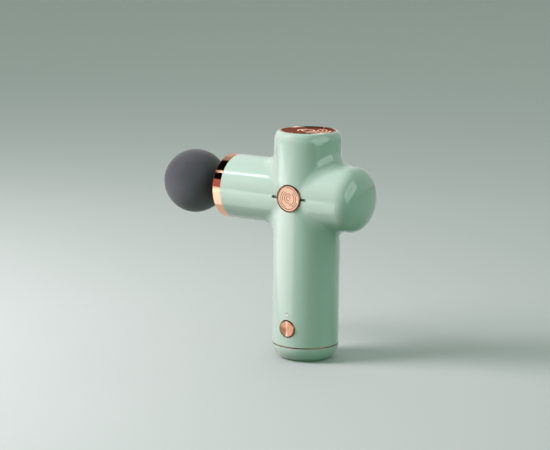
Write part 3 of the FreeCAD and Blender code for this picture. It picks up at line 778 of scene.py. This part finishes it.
# %% [markdown]
# Inside are the parts that make the gun work. They are seen only when the casing is taken off,
# yet each gets the finish of the real thing: turned steel, cast aluminium, oil-filled bronze and
# wound copper wire. Their CAD shapes are true already, so only the surface is made here. Rings
# and ridges too fine to model are a wave of the distance from the axis, or of the height.

# %% Metals inside


def turned_metal(name, colour, roughness, axis, centre, pitch=0.3 * MM):
    """Machined metal with the tool's faint rings."""
    finish = Finish(name, Metallic=1.0)
    rings = (finish.radius(centre, axis) * (2 * math.pi / pitch)).sine()
    along = (finish.part(finish.place(), axis) * (2 * math.pi / pitch)).sine()
    finish.set("Base Color", finish.blend(finish.noise(500.0), colour, shade(colour, 0.85)))
    finish.set("Roughness", roughness + finish.noise(1500.0) * 0.08)
    finish.bump(rings + along, 0.004 * MM, 0.6)
    return finish


def copper_winding():
    """Enamelled wire laid turn on turn, seen as fine level ridges."""
    finish = Finish("copper_winding", Metallic=0.9, Coat_Weight=0.5)
    turns = (finish.part(finish.place(), 2) * (2 * math.pi / (0.45 * MM))).sine()
    # The colour darkens in the hollows between the turns: painted shade.
    finish.set("Base Color", finish.blend(turns, paint(0.45, 0.16, 0.06), paint(0.82, 0.36, 0.16)))
    finish.set("Roughness", 0.25 + finish.noise(900.0) * 0.1)
    finish.bump(turns ** 0.5, 0.1 * MM)
    return finish


def laminations():
    """Thin steel sheets stacked along Z."""
    finish = Finish("steel_laminations", Metallic=1.0)
    sheets = (finish.part(finish.place(), 2) * (2 * math.pi / (0.5 * MM))).sine()
    finish.set("Base Color", finish.blend(sheets, paint(0.20, 0.20, 0.21), paint(0.45, 0.45, 0.46)))
    finish.set("Roughness", 0.42 + finish.noise(900.0) * 0.1)
    finish.bump(sheets, 0.04 * MM, 0.8)
    return finish


steel_colour = paint(0.60, 0.60, 0.61)
steel_z = turned_metal("turned_steel", steel_colour, 0.24, 2, (0, 0, 0))
steel_x = turned_metal("turned_steel_along_barrel", steel_colour, 0.22, 0, barrel_axis)
screw_steel = grained("screw_steel", paint(0.42, 0.42, 0.44), 0.3, 1500.0, 0.008 * MM, 1.0)
bearing_steel = turned_metal("bearing_steel", paint(0.72, 0.72, 0.72), 0.12, 2, (0, 0, 0), 0.5 * MM)
cast = grained("cast_aluminium", paint(0.56, 0.57, 0.58), 0.45, 900.0, 0.04 * MM, 1.0)
bronze = grained("oiled_bronze", paint(0.55, 0.33, 0.13), 0.34, 1300.0, 0.02 * MM, 1.0)
nickel = grained("nickel_plate", paint(0.66, 0.62, 0.55), 0.22, 700.0, 0.006 * MM, 1.0)
dress(steel_z, "rotor_can", "motor_shaft", "crank_disc", "wrist_pin", "connecting_rod")
dress(steel_x, "piston")
dress(screw_steel, "base_screws", "motor_screws", "button_board_screws", "display_board_screws")
dress(screw_steel, "driver_board_screw", "crank_pin_bolt")
dress(bearing_steel, "lower_motor_bearing", "upper_motor_bearing", "rod_bearing")
dress(cast, "chassis", "motor_mount")
dress(bronze, "piston_sleeve")
dress(nickel, "rotor_magnets", "battery_contacts", "usb_c_port")
dress(copper_winding(), "stator_windings")
dress(laminations(), "stator_core")
print("metals dressed")

# %% [markdown]
# The electric parts come last: green circuit boards with black chips, cells in blue shrink film,
# white lamps and coloured wires. The tracks of a board are a brick pattern, since copper tracks
# also run straight and turn at corners. All of it stays hidden, so no board gets an image.

# %% Boards, cells and wires


def circuit_board():
    """Green solder mask over copper tracks, which stand out as lighter raised lines."""
    finish = Finish("circuit_board", Coat_Weight=0.4, Coat_Roughness=0.15)
    settings = {"offset": 0.5, "squash": 0.7}
    inputs = {"Vector": finish.place(), "Scale": 170.0, "Mortar Size": 0.06, "Mortar Smooth": 0.2}
    tracks = finish.node("ShaderNodeTexBrick", settings, inputs, output="Fac")
    finish.set("Base Color", finish.blend(tracks, paint(0.008, 0.10, 0.035), paint(0.03, 0.24, 0.09)))
    finish.set("Roughness", 0.3 + finish.noise(700.0) * 0.1)
    finish.bump(tracks, 0.03 * MM, 0.6)
    return finish


def cell_wrap():
    """Shrink film: smooth blue with slow wrinkles along the cell."""
    finish = Finish("cell_wrap", Coat_Weight=0.7, Coat_Roughness=0.1)
    blue = paint(0.03, 0.12, 0.42)
    wrinkle = finish.noise(14.0, 3.0, finish.stretched((0.15, 0.15, 1.0)))
    finish.set("Base Color", finish.blend(wrinkle, blue, shade(blue, 0.7)))
    finish.set("Roughness", 0.3 + wrinkle * 0.1)
    finish.bump(wrinkle, 0.1 * MM, 0.4)
    return finish


board = circuit_board()
chip = grained("chip_black", paint(0.018, 0.018, 0.019), 0.55, 3000.0)
grey_plastic = grained("grey_plastic", paint(0.30, 0.31, 0.32), 0.5, 1800.0)
lamp = grained("lamp_white", paint(0.80, 0.79, 0.72), 0.3, 1200.0, 0.01 * MM, 0.0, Coat_Weight=0.5)
wire_red = grained("wire_red", paint(0.50, 0.02, 0.015), 0.4, 1000.0, 0.01 * MM)
wire_grey = grained("wire_grey", paint(0.33, 0.33, 0.34), 0.45, 1000.0, 0.01 * MM)
dress(board, "display_board", "button_board", "charge_board", "driver_board", "usb_board")
dress(chip, "charge_board_parts", "driver_board_parts")
dress(cell_wrap(), "battery_cells")
dress(grey_plastic, "battery_tray")
dress(lamp, "indicator_leds", "status_led")
dress(wire_red, "motor_leads", "battery_leads", "charge_leads")
dress(wire_grey, "button_cable", "display_cable")
print("nodes without a finish:", sorted(set(nodes) - dressed))

# %% [markdown]
# The stage is a plain pale floor, so wide that its edge never shows. The camera and the mirrors
# see it, but it throws no light back up: the sky does that, so the amount can be set there.

# %% Floor


def floor():
    bm = bmesh.new()
    half_width = 30.0
    bmesh.ops.create_grid(bm, x_segments=1, y_segments=1, size=half_width)
    finish = Finish("floor_paint", Specular_IOR_Level=0.2)
    pale = paint(0.52, 0.575, 0.55)
    finish.set("Base Color", finish.blend(finish.noise(3.0), pale, shade(pale, 0.97)))
    finish.set("Roughness", 0.75 + finish.noise(40.0) * 0.1)
    made = finished_object("floor", bm, finish)
    made.visible_diffuse = False
    made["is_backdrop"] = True


floor()

# %% [markdown]
# Light decides how plating and lacquer look. The key is a broad soft lamp on the left, which
# models the round forms and shows in no mirror. The narrow strip draws the thin bright line along
# the barrel. The ceiling fills the shadows with pale green light. The window on the right only
# shines in reflections, on the crossing and the rear end. Two small cards do the same for the
# collar: one in front for the lower half of its band, one behind for its far edge. The
# lamps don't show to the camera.

# %% Lamps


def soft_lamp(name, aim_at, away, distance, size, power, colour=(1, 1, 1), mirrored=True, lights=True):
    """An area lamp that faces a point from a direction, with its width along the barrel.

    A lamp that isn't mirrored shows in no reflection, and one that doesn't light shows only there.
    """
    lamp = bpy.data.lights.new(name, "AREA")
    lamp.shape = "RECTANGLE"
    lamp.size, lamp.size_y = size
    lamp.energy = power
    lamp.color = colour
    outward = Vector(away).normalized()
    height = outward.cross(Vector((1, 0, 0))).normalized()
    width = height.cross(outward)
    made = bpy.data.objects.new(name, lamp)
    made.location = Vector(aim_at) + outward * distance
    made.rotation_mode = "QUATERNION"
    made.rotation_quaternion = Matrix((width, height, outward)).transposed().to_quaternion()
    made.visible_camera = False
    made.visible_glossy = mirrored
    made.visible_diffuse = lights
    bpy.context.scene.collection.objects.link(made)
    print(name, "lamp", power, "W")


barrel_front = (collar_high[0] - 3.5 * MM, -barrel_r * 0.87, barrel_axis.z + barrel_r * 0.5)
collar_back = (collar_high[0] * 0.65, 0, barrel_axis.z)
soft_lamp(
    "key", barrel_axis, (-0.66, -0.56, 0.50), 1.0, size=(0.5, 0.5), power=13.3,
    colour=(1.0, 0.88, 0.955), mirrored=False,
)
soft_lamp("strip", barrel_front, (-0.547, -0.492, 0.677), 1.0, size=(0.088, 0.14), power=0.16)
soft_lamp(
    "ceiling", (0, 0, 0), (0, 0.05, 1), 4.0, size=(12.0, 12.0), power=270.0,
    colour=(0.88, 1.0, 0.94), mirrored=False,
)
soft_lamp("window", barrel_axis, (0.92, -0.18, 0.35), 1.0, size=(0.72, 1.1), power=3.3, lights=False)
soft_lamp(
    "low_card", collar_back, (-0.547, -0.717, -0.431), 0.13, size=(0.2, 0.115), power=0.06,
    colour=(1.0, 0.97, 0.96), lights=False,
)
soft_lamp(
    "back_card", collar_back, (-0.62, 0.72, 0.25), 0.6, size=(0.8, 0.6), power=0.32,
    colour=(1.0, 0.95, 0.95), lights=False,
)

# %% [markdown]
# The sky is what the lacquer and the plating reflect. It could be a picture of a real room, but a
# few soft steps between colours are enough, and each one has a reason: warm on the left and green
# on the right tint the two sides, black overhead gives the collar its hard dark band, and the
# pale part behind reaches higher, because rims and edges reflect it.

# %% Sky


def studio_sky():
    world = bpy.data.worlds.new("studio")
    world.use_nodes = True
    sky = Net(world.node_tree)
    where = sky.node("ShaderNodeTexCoord", output="Generated")
    rightward, backward, upward = (sky.part(where, axis) for axis in range(3))
    dark = paint(0.003, 0.003, 0.003)
    right = sky.step(rightward, -0.3, 0.2)
    horizon = sky.blend(right, paint(0.44, 0.20, 0.19), paint(0.25, 0.53, 0.36))
    front_sky = sky.blend(sky.step(upward, 0.33, 0.37), horizon, dark)
    back_sky = sky.blend(sky.step(upward, 0.76, 0.80), paint(0.38, 0.41, 0.37), dark)
    above = sky.blend(sky.step(backward, 0.0, 0.3), front_sky, back_sky)
    below = sky.blend(sky.step(upward, -0.95, -0.6), paint(0.03, 0.06, 0.04), paint(0.12, 0.27, 0.17))
    whole = sky.blend(sky.step(upward, -0.45, -0.1), below, above)
    sky.feed(world.node_tree.nodes["Background"].inputs["Color"], whole)
    bpy.context.scene.world = world
    print("sky", len(world.node_tree.nodes), "nodes")


studio_sky()
bpy.context.scene.view_settings.view_transform = "Standard"

# %% [markdown]
# The camera is a long lens a little above the barrel, turned so that the handle, the badge and
# the ball head all show. Its frame is shifted, as on a view camera, instead of turning the camera
# away from the gun, because a turn would change how the upright lines lean.

# %% Camera


def studio_camera():
    azimuth = math.radians(33.67)
    elevation = math.radians(9.5)
    roll = math.radians(0.78)
    distance = 1.224
    away = Vector((
        math.sin(azimuth) * math.cos(elevation),
        -math.cos(azimuth) * math.cos(elevation),
        math.sin(elevation),
    ))
    lens = bpy.data.cameras.new("camera")
    lens.sensor_width = 36.0
    lens.lens = 122.578
    lens.shift_x = -0.05865
    lens.shift_y = -0.05605
    made = bpy.data.objects.new("camera", lens)
    made.location = barrel_axis + away * distance
    made.rotation_mode = "QUATERNION"
    made.rotation_quaternion = (-away).to_track_quat("-Z", "Y") @ Quaternion((0, 0, 1), roll)
    bpy.context.scene.collection.objects.link(made)
    bpy.context.scene.camera = made
    print("camera lens", lens.lens, "mm, distance", distance, "m")


studio_camera()

# %% [markdown]
# Last, the finished gun is measured beside its CAD model. The new pieces may only stand out by a
# hair, since the CAD sizes are the true ones.

# %% Sizes
visual_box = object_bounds()
for name, box in (("cad", cad_box), ("visual", visual_box)):
    print(name, [round(c, 4) for corner in box for c in corner])
